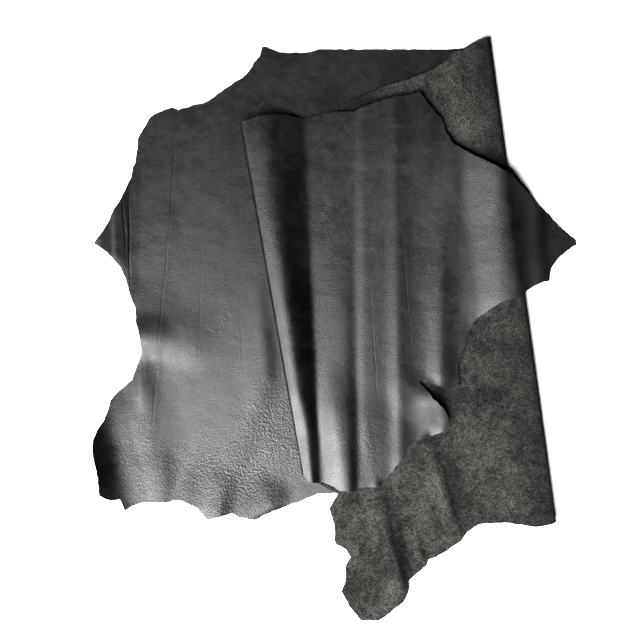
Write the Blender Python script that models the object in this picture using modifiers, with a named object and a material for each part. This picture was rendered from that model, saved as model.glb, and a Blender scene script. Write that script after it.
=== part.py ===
"""A whole side of cowhide leather, folded in three and lying flat with its grain up.

The side is one sheet, THICKNESS thick. It is folded twice, along the back fold and then along the
neck fold, so three layers lie on each other: the neck and shoulder lowest with the grain up, the
middle with the flesh side up, and the butt on top with the grain up again.

Tables give places in the lay plan: millimetres as the folded hide lies, seen from above, with x to
the right, y towards the spine and the origin under the middle of the folded hide. unfold() takes a
place on a layer to the flat sheet, and fold() takes the flat sheet back to the folded form.
"""

import math
from collections import namedtuple

import bmesh
import bpy
from mathutils import Vector

MM = 0.001  # metres in a millimetre

THICKNESS = 2.0
LAYER_GAP = 1.0  # air between two layers that lie on each other
LAYER_STEP = THICKNESS + LAYER_GAP
ARC_STEP = 16.0  # longest straight piece of a curved edge
EDGE_STEP = 60.0  # longest straight piece of a straight edge
ROW_STEP = 46.0  # spacing of the cuts across the sheet
BEND_CUTS = 6  # flat facets in each half-turn bend
CUT_NEAR = 2.0  # a cut this near a corner goes through it
SHORTEST_EDGE = 1.5
LEATHER_BLACK = (0.012, 0.012, 0.013, 1.0)
LEATHER_ROUGHNESS = 0.42

# A fold runs straight along x = x_at_zero - lean * y, which is the outermost line of its bend.
# side is +1 where the bend is on the right. The bend's radius changes evenly from end to end.
Fold = namedtuple("Fold", "side x_at_zero lean spine_y spine_radius belly_y belly_radius")
BACK_FOLD = Fold(1, 437.1, 0.1358, 650.0, 9.0, -430.0, 13.0)
NECK_FOLD = Fold(-1, -128.6, 0.178, 470.0, 9.0, -330.0, 5.0)

# The edge of the side, in the order in which it is met walking round the flat sheet. bulge is how
# far the edge to the next landmark bows out of the sheet, and below zero it bows in.
Landmark = namedtuple("Landmark", "x y bulge")
NECK_LAYER, MIDDLE_LAYER, BUTT_LAYER = 1, 2, 3
SPINE_OF_NECK = (
    Landmark(-162, 634, 1),
    Landmark(-148, 632, -1),
    Landmark(-124, 622, 0),
    Landmark(-70, 620, -1),
    Landmark(-36, 628, 0),
    Landmark(261, 628, 0),
    Landmark(310, 632, 0),
    Landmark(340, 647, 0),
)
SPINE_OF_MIDDLE = (
    Landmark(335, 650, 2),
    Landmark(286, 625, 0),
    Landmark(270, 622, 0),
    Landmark(240, 593, -3),
    Landmark(158, 558, 0),
    Landmark(104, 541, -1),
    Landmark(40, 512, -2),
    Landmark(-7, 496, -2),
    Landmark(-70, 471, 0),
    Landmark(-148, 466, 0),
)
SPINE_OF_BUTT = (
    Landmark(-193, 461, 10),
    Landmark(-70, 470, 0),
    Landmark(1, 486, 0),
    Landmark(43, 485, 2),
    Landmark(132, 516, 1),
    Landmark(167, 521, 0),
)
BUTT_END = (
    Landmark(192, 529, -3),
    Landmark(240, 470, -5),
    Landmark(269, 409, -1),
    Landmark(390, 340, 1),
    Landmark(454, 278, 0),
    Landmark(483, 256, -2),
    Landmark(526, 213, -1),
)
HIND_SHANK = (
    Landmark(544, 198, 0),
    Landmark(544, 189, -2),
    Landmark(504, 157, -7),
    Landmark(485, 108, -3),
    Landmark(428, 86, 2),
    Landmark(369, 59, -1),
    Landmark(317, 22, -2),
    Landmark(295, -27, -1),
    Landmark(277, -82, 0),
    Landmark(279, -132, 0),
    Landmark(237, -128, 1),
)
FLANK = (
    Landmark(201, -115, 1),
    Landmark(188, -118, 0),
    Landmark(203, -131, 0),
    Landmark(219, -152, 0),
    Landmark(236, -171, 2),
    Landmark(251, -192, 2),
    Landmark(253, -214, 3),
    Landmark(243, -228, 0),
    Landmark(216, -239, -2),
    Landmark(172, -258, -3),
    Landmark(151, -290, 1),
    Landmark(100, -354, -1),
    Landmark(57, -356, 0),
    Landmark(43, -362, 1),
    Landmark(11, -360, -2),
    Landmark(-27, -343, 0),
    Landmark(-48, -343, 1),
    Landmark(-62, -333, -9),
)
BELLY = (
    Landmark(-62, -333, 0),
    Landmark(8, -370, 0),
    Landmark(-11, -404, 0),
    Landmark(0, -439, -1),
    Landmark(1, -475, 0),
    Landmark(6, -486, 0),
)
FORE_SHANK = (
    Landmark(29, -496, 2),
    Landmark(38, -513, 2),
    Landmark(25, -540, -2),
    Landmark(25, -567, 0),
    Landmark(17, -590, 0),
    Landmark(36, -626, 0),
    Landmark(61, -656, 0),
    Landmark(101, -656, 1),
    Landmark(155, -615, 2),
    Landmark(168, -584, 1),
)
BRISKET_OF_MIDDLE = (
    Landmark(166, -567, 0),
    Landmark(189, -548, 0),
    Landmark(207, -533, 0),
    Landmark(212, -519, 1),
    Landmark(245, -504, 1),
    Landmark(285, -475, -3),
    Landmark(324, -440, -1),
    Landmark(377, -434, -1),
    Landmark(447, -440, 1),
)
BRISKET_OF_NECK = (
    Landmark(482, -428, 2),
    Landmark(374, -414, -3),
    Landmark(238, -403, 3),
    Landmark(104, -378, -2),
    Landmark(9, -368, 0),
    Landmark(-36, -371, 0),
)
SHOULDER = (
    Landmark(-76, -387, 0),
    Landmark(-117, -402, -1),
    Landmark(-178, -428, 0),
    Landmark(-209, -422, 0),
    Landmark(-230, -414, 0),
    Landmark(-283, -427, 0),
    Landmark(-305, -403, -1),
    Landmark(-333, -389, -2),
    Landmark(-358, -384, 1),
    Landmark(-379, -389, 0),
    Landmark(-427, -387, -2),
    Landmark(-466, -405, 0),
    Landmark(-477, -378, 5),
)
CHEEK = (
    Landmark(-515, -368, 1),
    Landmark(-520, -333, 0),
    Landmark(-531, -282, 1),
    Landmark(-533, -247, 2),
    Landmark(-512, -201, -1),
    Landmark(-501, -160, 2),
    Landmark(-453, -114, 1),
    Landmark(-431, -56, -3),
    Landmark(-442, 9, 1),
    Landmark(-445, 38, -1),
    Landmark(-459, 79, -3),
    Landmark(-480, 139, -5),
)
NECK_END = (
    Landmark(-540, 192, 0),
    Landmark(-533, 204, -2),
    Landmark(-500, 247, 2),
    Landmark(-479, 288, 0),
    Landmark(-457, 340, -3),
    Landmark(-441, 428, 1),
    Landmark(-412, 477, 2),
    Landmark(-367, 497, 1),
    Landmark(-351, 492, 1),
    Landmark(-295, 507, -1),
    Landmark(-261, 528, 1),
    Landmark(-212, 561, -1),
    Landmark(-189, 582, 1),
    Landmark(-169, 611, -1),
)
EDGE = (
    (NECK_LAYER, SPINE_OF_NECK),
    (MIDDLE_LAYER, SPINE_OF_MIDDLE),
    (BUTT_LAYER, SPINE_OF_BUTT),
    (BUTT_LAYER, BUTT_END),
    (BUTT_LAYER, HIND_SHANK),
    (BUTT_LAYER, FLANK),
    (MIDDLE_LAYER, BELLY),
    (MIDDLE_LAYER, FORE_SHANK),
    (MIDDLE_LAYER, BRISKET_OF_MIDDLE),
    (NECK_LAYER, BRISKET_OF_NECK),
    (NECK_LAYER, SHOULDER),
    (NECK_LAYER, CHEEK),
    (NECK_LAYER, NECK_END),
)

# The long waves of the butt layer, left to right: each is a straight crest or valley from the line
# y = WAVE_SPINE_Y to the line y = WAVE_BELLY_Y. Heights are above the layers underneath, and sharp
# is 0 for a round crest or valley and 1 for one that is a crease.
Wave = namedtuple("Wave", "spine_x belly_x spine_height belly_height sharp")
WAVE_SPINE_Y, WAVE_BELLY_Y = 515.0, -362.0
WAVES = (
    Wave(-211, -87, 32.0, 1.0, 1.5),
    Wave(-174, -49, 31.5, 22.0, 0.0),
    Wave(-69, -33, 1.0, 3.5, 1.2),
    Wave(1, 32, 4.8, 8.4, -0.2),
    Wave(45, 52, 7.3, 1.2, 1.0),
    Wave(63, 70, 11.6, 3.6, 0.5),
    Wave(102, 124, 13.8, 1.6, 0.6),
    Wave(134, 147, 15.6, 6.6, 1.5),
    Wave(173, 203, 12.0, 1.0, -0.3),
    Wave(239, 240, 12.3, 10.0, 1.0),
    Wave(275, 285, 16.0, 1.0, -0.3),
    Wave(435, 398, 12.0, 1.0, -0.3),
    Wave(498, 498, 0.5, 0.5, 0.0),
)

# The leather is too stiff for a sharp fold in a wave: each wave's height is the mean, with these
# weights, of the heights this far to its sides.
Share = namedtuple("Share", "offset weight")
ROUNDING = (Share(-8.0, 0.10), Share(-4.0, 0.25), Share(0.0, 0.30), Share(4.0, 0.25), Share(8.0, 0.10))

# A ridge is a soft roll along the line from (x1, y1) to (x2, y2), height high and left_width and
# right_width wide on its two sides, seen walking from its first end to its second. Its ends are
# round and reach end_run further. One with a height below zero is a trough.
Ridge = namedtuple("Ridge", "layer x1 y1 x2 y2 height left_width right_width end_run")
RIDGES = (
    Ridge(NECK_LAYER, -482, 43, -335, -39, 4.9, 105, 66, 79),
    Ridge(NECK_LAYER, -457, -34, -444, -31, 13.0, 73, 53, 107),
    Ridge(NECK_LAYER, -490, 167, -490, 296, 13.1, 44, 38, 87),
    Ridge(NECK_LAYER, -433, -128, -435, -107, 4.2, 22, 38, 76),
    Ridge(NECK_LAYER, -422, -396, -460, -221, 9.6, 67, 130, 193),
    Ridge(NECK_LAYER, -390, -404, -390, -325, 2.9, 84, 42, 73),
    Ridge(NECK_LAYER, -333, -399, -264, -420, 7.1, 130, 100, 41),
    Ridge(NECK_LAYER, -262, -426, -258, -381, 2.3, 36, 28, 78),
    Ridge(NECK_LAYER, -233, -446, -148, -401, 8.2, 89, 22, 71),
    Ridge(NECK_LAYER, -159, -105, -134, 68, 4.4, 70, 56, 99),
    Ridge(NECK_LAYER, -242, -338, -183, -177, 2.9, 65, 49, 73),
    Ridge(MIDDLE_LAYER, 40, 513, 240, 596, 4.0, 30, 32, 30),
    Ridge(MIDDLE_LAYER, 272, -455, 210, -254, 7.0, 45, 30, 40),
    Ridge(MIDDLE_LAYER, 432, -445, 380, -250, 8.0, 120, 60, 80),
    Ridge(MIDDLE_LAYER, 156, -572, 136, -458, 10.0, 55, 24, 30),
    Ridge(MIDDLE_LAYER, 132, -430, 98, -352, 6.0, 50, 24, 30),
    Ridge(BUTT_LAYER, 9, -223, 20, -297, 8.0, 77, 49, 160),
    Ridge(BUTT_LAYER, 366, 68, 372, 395, 10.5, 91, 110, 105),
    Ridge(BUTT_LAYER, 290, 405, 372, 375, 6.0, 60, 170, 60),
    Ridge(BUTT_LAYER, 238, -107, 246, -108, 2.0, 104, 13, 41),
    Ridge(BUTT_LAYER, 218, -170, 261, -207, 5.8, 49, 73, 131),
    Ridge(BUTT_LAYER, 167, -291, 218, -282, 1.9, 55, 42, 95),
    Ridge(BUTT_LAYER, 84, -254, 95, -330, 3.0, 63, 30, 144),
    Ridge(BUTT_LAYER, 228, -145, 262, -187, 6.0, 14, 62, 38),
    Ridge(BUTT_LAYER, -57, -360, -71, -250, -9.0, 38, 30, 120),
)

# A lifted edge curls up on the left of the line from (x1, y1) to (x2, y2): it is rise high where
# it is reach away from the line, and goes on straight from there.
Lift = namedtuple("Lift", "layer x1 y1 x2 y2 reach rise")
LIFTS = (
    Lift(NECK_LAYER, -414, -359, -460, -174, 71.0, 26.0),
)

UNCOVERED_RUN = 40.0  # how far left of the neck fold the neck layer's ridges are whole
BACK_ROLL_RUN = 105.0  # how far from the back fold the middle layer comes down onto the neck layer
SHANK_DROP_START, SHANK_DROP_END = 16.0, 60.0  # past the brisket, where the middle layer comes down
DROOP_START, DROOP_END = -20.0, 72.0  # where the butt layer goes over the back fold to the floor
BRIDGE_ROUNDING = 2.0  # how softly the butt layer comes onto a ridge of the middle layer

# The sheet is cut into strips that run along it from one layer's line to the next, and a patch
# with small ridges has each of its strips and rows split again.
NECK_LEFT = -545.0
NECK_STRIPS, MIDDLE_STRIPS = 38, 22
WAVE_STRIPS = (2, 5, 4, 3, 2, 3, 2, 4, 3, 3, 6, 4)
Patch = namedtuple("Patch", "layer left right bottom top column_split row_split")
PATCHES = (
    Patch(NECK_LAYER, -550, -90, -440, -325, 2, 3),
    Patch(NECK_LAYER, -480, -225, -130, 40, 2, 2),
    Patch(NECK_LAYER, -550, -440, 130, 340, 2, 2),
    Patch(MIDDLE_LAYER, 10, 290, -660, -300, 2, 1),
)


def bend_radius(fold, y):
    """The radius of a fold's bend at this distance along it."""
    share = (y - fold.spine_y) / (fold.belly_y - fold.spine_y)
    share = min(max(share, 0.0), 1.0)
    return fold.spine_radius + share * (fold.belly_radius - fold.spine_radius)


def outward(fold):
    """The unit vector that points out of a fold, across it."""
    return Vector((fold.side, fold.side * fold.lean)).normalized()


def past_fold(fold, place):
    """How far a place is beyond the fold's outermost line. It is below zero inside."""
    return (place - Vector((fold.x_at_zero, 0.0))).dot(outward(fold))


def radius_at(fold, place):
    return bend_radius(fold, place.y - past_fold(fold, place) * outward(fold).y)


def unfold_once(fold, place):
    """The place on the opened sheet of a place that lies on the sheet folded back over a fold."""
    inside = -past_fold(fold, place)
    spare = (math.pi - 2.0) * radius_at(fold, place)
    return place + outward(fold) * (2.0 * inside + spare)


def unfold(layer, x, y):
    place = Vector((x, y))
    if layer == BUTT_LAYER:
        place = unfold_once(NECK_FOLD, place)
    if layer != NECK_LAYER:
        place = unfold_once(BACK_FOLD, place)
    return place


def smooth_step(value, start, end):
    share = min(max((value - start) / (end - start), 0.0), 1.0)
    return share * share * (3.0 - 2.0 * share)


def along_and_left(line, place):
    """How far along a table's line a place is, and how far to its left, with the line's length."""
    start = Vector((line.x1, line.y1))
    run = Vector((line.x2, line.y2)) - start
    length = run.length
    along = (place - start).dot(run) / length
    left = (place - start).dot(Vector((-run.y, run.x))) / length
    return along, left, length


def ridge_height(ridge, place):
    along, left, length = along_and_left(ridge, place)
    beyond = along - min(max(along, 0.0), length)
    width = ridge.left_width if left > 0 else ridge.right_width
    share = min(math.hypot(left / width, beyond / ridge.end_run), 1.0)
    return ridge.height * (1.0 - share) ** 2 * (1.0 + 2.0 * share)


def lift_height(lift, place):
    share = max(along_and_left(lift, place)[1], 0.0) / lift.reach
    return lift.rise * (share * share if share < 1.0 else 2.0 * share - 1.0)


def relief(layer, place):
    """The height of a layer's own ridges and lifted edges."""
    ridges = sum(ridge_height(ridge, place) for ridge in RIDGES if ridge.layer == layer)
    lifts = sum(lift_height(lift, place) for lift in LIFTS if lift.layer == layer)
    return ridges + lifts


def wave_at(wave, y):
    """A wave's x and height at this y."""
    share = (WAVE_SPINE_Y - y) / (WAVE_SPINE_Y - WAVE_BELLY_Y)
    x = wave.spine_x + share * (wave.belly_x - wave.spine_x)
    share = min(max(share, 0.0), 1.0)
    return x, wave.spine_height + share * (wave.belly_height - wave.spine_height)


def sharp_wave(place):
    """The height of the butt layer's waves: a curve from each crest or valley to the next."""
    left_x, left_height = wave_at(WAVES[0], place.y)
    if place.x <= left_x:
        return left_height
    for left, right in zip(WAVES, WAVES[1:]):
        left_x, left_height = wave_at(left, place.y)
        right_x, right_height = wave_at(right, place.y)
        if place.x <= right_x:
            share = (place.x - left_x) / (right_x - left_x)
            climb = share * share * (3.0 - 2.0 * share)
            climb += left.sharp * share * (1.0 - share) ** 2
            climb -= right.sharp * share * share * (1.0 - share)
            return left_height + climb * (right_height - left_height)
    return right_height


def wave_height(place):
    heights = [share.weight * sharp_wave(place + Vector((share.offset, 0.0))) for share in ROUNDING]
    return sum(heights)


def brisket_y(x):
    """The hidden brisket edge of the neck layer, which the middle layer passes over."""
    first, last = BRISKET_OF_NECK[-1], BRISKET_OF_NECK[0]
    return first.y + (x - first.x) / (last.x - first.x) * (last.y - first.y)


def neck_height(place):
    """The middle of the sheet's thickness on the lowest layer, which is flat under the others."""
    uncovered = smooth_step(past_fold(NECK_FOLD, place), 0.0, UNCOVERED_RUN)
    return THICKNESS / 2.0 + uncovered * relief(NECK_LAYER, place)


def back_roll(place):
    """How much the back fold's bend holds the middle layer up."""
    radius = radius_at(BACK_FOLD, place)
    held = smooth_step(past_fold(BACK_FOLD, place), -BACK_ROLL_RUN - radius, -radius)
    return held * (2.0 * radius - LAYER_STEP)


def middle_height(place):
    past_brisket = brisket_y(place.x) - place.y
    beyond_neck = smooth_step(past_brisket, SHANK_DROP_START, SHANK_DROP_END)
    lying = THICKNESS / 2.0 + LAYER_STEP * (1.0 - beyond_neck)
    return lying + back_roll(place) + relief(MIDDLE_LAYER, place)


def butt_height(place):
    """The middle of the butt layer, whose own form bridges most ridges of the layer below."""
    over = 1.0 - smooth_step(past_fold(BACK_FOLD, place), DROOP_START, DROOP_END)
    own = wave_height(place) + relief(BUTT_LAYER, place)
    below = over * relief(MIDDLE_LAYER, place)
    higher = (own + below + math.hypot(own - below, BRIDGE_ROUNDING)) / 2.0
    return THICKNESS / 2.0 + over * (2.0 * LAYER_STEP + back_roll(place)) + higher


def through_bend(fold, place, past, height_before, height_after):
    """A place in a bend, where past is how much of the sheet lies between it and the bend's start."""
    radius = radius_at(fold, place)
    turn = past / radius
    across = outward(fold)
    line = place - across * past_fold(fold, place)
    start = line - across * radius
    lying = start + across * radius * math.sin(turn)
    low, high = height_before(start), height_after(start)
    return Vector((lying.x, lying.y, low + (1.0 - math.cos(turn)) / 2.0 * (high - low)))


def fold_once(fold, place):
    """The place after a fold, and how much of the sheet lies between it and the bend's start."""
    radius = radius_at(fold, place)
    past = past_fold(fold, place) + radius
    if past > math.pi * radius:
        line = place - outward(fold) * past_fold(fold, place)
        place = line - outward(fold) * (past - (math.pi - 1.0) * radius)
    return place, past, math.pi * radius


def lay(flat):
    """The layer and the place on it of a place on the flat sheet.

    In a bend the layer is the one before it, with how much of the bend comes before the place.
    """
    place, past, bend = fold_once(BACK_FOLD, flat)
    if past <= bend:
        return NECK_LAYER, place, max(past, 0.0)
    place, past, bend = fold_once(NECK_FOLD, place)
    if past <= bend:
        return MIDDLE_LAYER, place, max(past, 0.0)
    return BUTT_LAYER, place, 0.0


def fold(flat):
    """The point in space of a place on the flat sheet, at the middle of its thickness."""
    layer, place, past = lay(flat)
    heights = {NECK_LAYER: neck_height, MIDDLE_LAYER: middle_height, BUTT_LAYER: butt_height}
    if past == 0.0:
        return Vector((place.x, place.y, heights[layer](place)))
    bent = BACK_FOLD if layer == NECK_LAYER else NECK_FOLD
    return through_bend(bent, place, past, heights[layer], heights[layer + 1])


def bowed(start, end, bulge):
    """The points from start up to end along an arc that bows out to the left by bulge."""
    chord = end - start
    step = ARC_STEP if bulge else EDGE_STEP
    pieces = max(1, math.ceil(chord.length / step))
    left = Vector((-chord.y, chord.x)).normalized()
    points = []
    for i in range(pieces):
        share = i / pieces
        points.append(start + chord * share + left * (4.0 * bulge * share * (1.0 - share)))
    return points


def flat_edge():
    """The closed edge of the flat sheet."""
    marks = []
    for layer, landmarks in EDGE:
        for mark in landmarks:
            marks.append((unfold(layer, mark.x, mark.y), mark.bulge))
    points = []
    for (start, bulge), (end, _) in zip(marks, marks[1:] + marks[:1]):
        points += bowed(start, end, bulge)
    return points


def cut(sheet, faces, first, second):
    """Cuts some of the sheet's faces along the straight line through two flat places."""
    run = second - first
    edges = {edge for face in faces for edge in face.edges}
    corners = {corner for face in faces for corner in face.verts}
    bmesh.ops.bisect_plane(
        sheet,
        geom=list(corners) + list(edges) + list(faces),
        dist=CUT_NEAR,
        plane_co=(first.x, first.y, 0.0),
        plane_no=(-run.y, run.x, 0.0),
    )


def bend_line(bent, share):
    """The flat places at both ends of a line that follows a bend, this share of the way round it."""
    ends = []
    for y in (WAVE_SPINE_Y, WAVE_BELLY_Y):
        line = Vector((bent.x_at_zero - bent.lean * y, y))
        place = line + outward(bent) * (share * math.pi - 1.0) * radius_at(bent, line)
        ends.append(place if bent is BACK_FOLD else unfold_once(BACK_FOLD, place))
    return ends


def wave_line(wave):
    first = unfold(BUTT_LAYER, wave.spine_x, WAVE_SPINE_Y)
    return [first, unfold(BUTT_LAYER, wave.belly_x, WAVE_BELLY_Y)]


def strips():
    """Rows of (layer, first line, last line, pieces) along the flat sheet, from neck to butt.

    A line is the flat places at its two ends, and the layer of a bend is None.
    """
    neck_end = [Vector((NECK_LEFT, WAVE_SPINE_Y)), Vector((NECK_LEFT, WAVE_BELLY_Y))]
    rows = [
        (NECK_LAYER, neck_end, bend_line(BACK_FOLD, 0.0), NECK_STRIPS),
        (None, bend_line(BACK_FOLD, 0.0), bend_line(BACK_FOLD, 1.0), BEND_CUTS),
        (MIDDLE_LAYER, bend_line(BACK_FOLD, 1.0), bend_line(NECK_FOLD, 0.0), MIDDLE_STRIPS),
        (None, bend_line(NECK_FOLD, 0.0), bend_line(NECK_FOLD, 1.0), BEND_CUTS),
    ]
    lines = [bend_line(NECK_FOLD, 1.0)] + [wave_line(wave) for wave in WAVES[1:]]
    for left, right, pieces in zip(lines, lines[1:], WAVE_STRIPS):
        rows.append((BUTT_LAYER, left, right, pieces))
    return rows


def faces_in(sheet, patch):
    found = []
    for face in sheet.faces:
        layer, place, past = lay(face.calc_center_median().xy)
        inside = patch.left < place.x < patch.right and patch.bottom < place.y < patch.top
        if layer == patch.layer and past == 0.0 and inside:
            found.append(face)
    return found


def cut_strips(sheet, patch=None):
    """Cuts the lines between strips, or only the lines that split the strips of one patch."""
    for layer, first, last, pieces in strips():
        if patch and layer != patch.layer:
            continue
        split = patch.column_split if patch else 1
        for i in range(1, pieces * split + 1):
            if patch and i % split == 0:
                continue
            ends = [a.lerp(b, i / (pieces * split)) for a, b in zip(first, last)]
            cut(sheet, faces_in(sheet, patch) if patch else sheet.faces[:], *ends)


def cut_rows(sheet, bottom, top, patch=None):
    """Cuts the rows across the sheet, or only the rows that split those of one patch."""
    split = patch.row_split if patch else 1
    rows = split * math.ceil((top - bottom) / ROW_STEP)
    for i in range(1, rows):
        if patch and i % split == 0:
            continue
        y = bottom + i / rows * (top - bottom)
        faces = faces_in(sheet, patch) if patch else sheet.faces[:]
        cut(sheet, faces, Vector((0.0, y)), Vector((1.0, y)))


def cut_sheet(sheet):
    """Cuts the flat sheet where it bends, so that its facets follow the waves and the folds."""
    top = max(vertex.co.y for vertex in sheet.verts)
    bottom = min(vertex.co.y for vertex in sheet.verts)
    cut_strips(sheet)
    cut_rows(sheet, bottom, top)
    for patch in PATCHES:
        cut_strips(sheet, patch)
        cut_rows(sheet, bottom, top, patch)
    bmesh.ops.remove_doubles(sheet, verts=sheet.verts[:], dist=SHORTEST_EDGE)


def leather_material():
    material = bpy.data.materials.new("leather")
    material.use_nodes = True
    shader = material.node_tree.nodes["Principled BSDF"]
    shader.inputs["Base Color"].default_value = LEATHER_BLACK
    shader.inputs["Roughness"].default_value = LEATHER_ROUGHNESS
    shader.inputs["Metallic"].default_value = 0.0
    return material


def make_hide(collection):
    sheet = bmesh.new()
    corners = [sheet.verts.new((point.x, point.y, 0.0)) for point in flat_edge()]
    sheet.faces.new(corners)
    cut_sheet(sheet)
    bmesh.ops.triangulate(sheet, faces=sheet.faces[:])
    for vertex in sheet.verts:
        vertex.co = fold(Vector((vertex.co.x, vertex.co.y))) * MM
    bmesh.ops.recalc_face_normals(sheet, faces=sheet.faces[:])
    mesh = bpy.data.meshes.new("hide")
    sheet.to_mesh(mesh)
    sheet.free()
    mesh.shade_smooth()
    hide = bpy.data.objects.new("hide", mesh)
    collection.objects.link(hide)
    shell = hide.modifiers.new("thickness", "SOLIDIFY")
    shell.thickness = THICKNESS * MM
    shell.offset = 0.0
    hide.data.materials.append(leather_material())
    return hide


def main():
    for old in list(bpy.data.objects):
        bpy.data.objects.remove(old, do_unlink=True)
    collection = bpy.data.collections.new("leather hide")
    bpy.context.scene.collection.children.link(collection)
    make_hide(collection)


main()
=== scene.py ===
"""The leather hide dressed for its picture: the folded sheet in fine cells, with its two leathers.

The sheet repeats the sizes and tables of the solid that it replaces, and adds finer ridges. Places
and sizes are millimetres in the lay plan, seen from above, unless metres are named. Arrays of places
have one row each.
"""

import math
from collections import namedtuple

import bmesh
import bpy
import numpy as np
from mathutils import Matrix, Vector


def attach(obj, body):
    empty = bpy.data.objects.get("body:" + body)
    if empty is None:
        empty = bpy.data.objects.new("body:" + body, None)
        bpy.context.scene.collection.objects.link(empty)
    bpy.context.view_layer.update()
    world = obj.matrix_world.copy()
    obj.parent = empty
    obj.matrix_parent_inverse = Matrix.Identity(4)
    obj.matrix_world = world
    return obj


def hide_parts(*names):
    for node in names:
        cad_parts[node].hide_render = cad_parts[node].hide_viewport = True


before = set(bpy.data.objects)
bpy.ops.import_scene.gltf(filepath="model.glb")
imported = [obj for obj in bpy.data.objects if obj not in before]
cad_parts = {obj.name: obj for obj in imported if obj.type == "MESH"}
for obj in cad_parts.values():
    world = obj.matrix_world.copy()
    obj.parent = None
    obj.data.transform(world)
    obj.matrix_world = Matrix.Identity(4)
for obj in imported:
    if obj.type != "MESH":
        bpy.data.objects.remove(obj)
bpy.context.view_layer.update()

MM = 0.001  # metres in a millimetre

THICKNESS = 2.0
LAYER_GAP = 1.0  # air between two layers that lie on each other
LAYER_STEP = THICKNESS + LAYER_GAP
ARC_STEP = 5.0  # longest straight piece of the edge
EDGE_NIBBLE, EDGE_SEED = 0.7, 4  # how unevenly the edge is cut
CELL_ACROSS, CELL_ALONG = 6.0, 11.0  # spacing of the cuts across the folds and along them
BEND_CUTS = 12  # flat facets in each half-turn bend
CUT_NEAR = 0.4  # a cut this near a corner goes through it
SHORTEST_EDGE = 0.6  # corners nearer to each other become one

# A fold runs straight along x = x_at_zero - lean * y, which is the outermost line of its bend.
# side is +1 where the bend is on the right. The bend's radius changes evenly from end to end.
Fold = namedtuple("Fold", "side x_at_zero lean spine_y spine_radius belly_y belly_radius")
BACK_FOLD = Fold(1, 437.1, 0.1358, 650.0, 9.0, -430.0, 13.0)
NECK_FOLD = Fold(-1, -128.6, 0.178, 470.0, 9.0, -330.0, 5.0)

# The edge of the side, in the order in which it is met walking round the flat sheet. bulge is how
# far the edge to the next landmark bows out of the sheet, and below zero it bows in.
Landmark = namedtuple("Landmark", "x y bulge")
NECK_LAYER, MIDDLE_LAYER, BUTT_LAYER = 1, 2, 3
SPINE_OF_NECK = (
    Landmark(-162, 634, 1),
    Landmark(-148, 632, -1),
    Landmark(-124, 622, 0),
    Landmark(-70, 620, -1),
    Landmark(-36, 628, 0),
    Landmark(261, 628, 0),
    Landmark(310, 632, 0),
    Landmark(340, 647, 0),
)
SPINE_OF_MIDDLE = (
    Landmark(335, 650, 2),
    Landmark(286, 625, 0),
    Landmark(270, 622, 0),
    Landmark(240, 593, -3),
    Landmark(158, 558, 0),
    Landmark(104, 541, -1),
    Landmark(40, 512, -2),
    Landmark(-7, 496, -2),
    Landmark(-70, 471, 0),
    Landmark(-148, 466, 0),
)
SPINE_OF_BUTT = (
    Landmark(-193, 461, 10),
    Landmark(-70, 470, 0),
    Landmark(1, 486, 0),
    Landmark(43, 485, 2),
    Landmark(132, 516, 1),
    Landmark(167, 521, 0),
)
BUTT_END = (
    Landmark(192, 529, -3),
    Landmark(240, 470, -5),
    Landmark(269, 409, -1),
    Landmark(390, 340, 1),
    Landmark(454, 278, 0),
    Landmark(483, 256, -2),
    Landmark(526, 213, -1),
)
HIND_SHANK = (
    Landmark(544, 198, 0),
    Landmark(544, 189, -2),
    Landmark(504, 157, -7),
    Landmark(485, 108, -3),
    Landmark(428, 86, 2),
    Landmark(369, 59, -1),
    Landmark(317, 22, -2),
    Landmark(295, -27, -1),
    Landmark(277, -82, 0),
    Landmark(279, -132, 0),
    Landmark(237, -128, 1),
)
FLANK = (
    Landmark(201, -115, 1),
    Landmark(188, -118, 0),
    Landmark(203, -131, 0),
    Landmark(219, -152, 0),
    Landmark(236, -171, 2),
    Landmark(251, -192, 2),
    Landmark(253, -214, 3),
    Landmark(243, -228, 0),
    Landmark(216, -239, -2),
    Landmark(172, -258, -3),
    Landmark(151, -290, 1),
    Landmark(100, -354, -1),
    Landmark(57, -356, 0),
    Landmark(43, -362, 1),
    Landmark(11, -360, -2),
    Landmark(-27, -343, 0),
    Landmark(-48, -343, 1),
    Landmark(-62, -333, -9),
)
BELLY = (
    Landmark(-62, -333, 0),
    Landmark(8, -370, 0),
    Landmark(-11, -404, 0),
    Landmark(0, -439, -1),
    Landmark(1, -475, 0),
    Landmark(6, -486, 0),
)
FORE_SHANK = (
    Landmark(29, -496, 2),
    Landmark(38, -513, 2),
    Landmark(25, -540, -2),
    Landmark(25, -567, 0),
    Landmark(17, -590, 0),
    Landmark(36, -626, 0),
    Landmark(61, -656, 0),
    Landmark(101, -656, 1),
    Landmark(155, -615, 2),
    Landmark(168, -584, 1),
)
BRISKET_OF_MIDDLE = (
    Landmark(166, -567, 0),
    Landmark(189, -548, 0),
    Landmark(207, -533, 0),
    Landmark(212, -519, 1),
    Landmark(245, -504, 1),
    Landmark(285, -475, -3),
    Landmark(324, -440, -1),
    Landmark(377, -434, -1),
    Landmark(447, -440, 1),
)
BRISKET_OF_NECK = (
    Landmark(482, -428, 2),
    Landmark(374, -414, -3),
    Landmark(238, -403, 3),
    Landmark(104, -378, -2),
    Landmark(9, -368, 0),
    Landmark(-36, -371, 0),
)
SHOULDER = (
    Landmark(-76, -387, 0),
    Landmark(-117, -402, -1),
    Landmark(-178, -428, 0),
    Landmark(-209, -422, 0),
    Landmark(-230, -414, 0),
    Landmark(-283, -427, 0),
    Landmark(-305, -403, -1),
    Landmark(-333, -389, -2),
    Landmark(-358, -384, 1),
    Landmark(-379, -389, 0),
    Landmark(-427, -387, -2),
    Landmark(-466, -405, 0),
    Landmark(-477, -378, 5),
)
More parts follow.
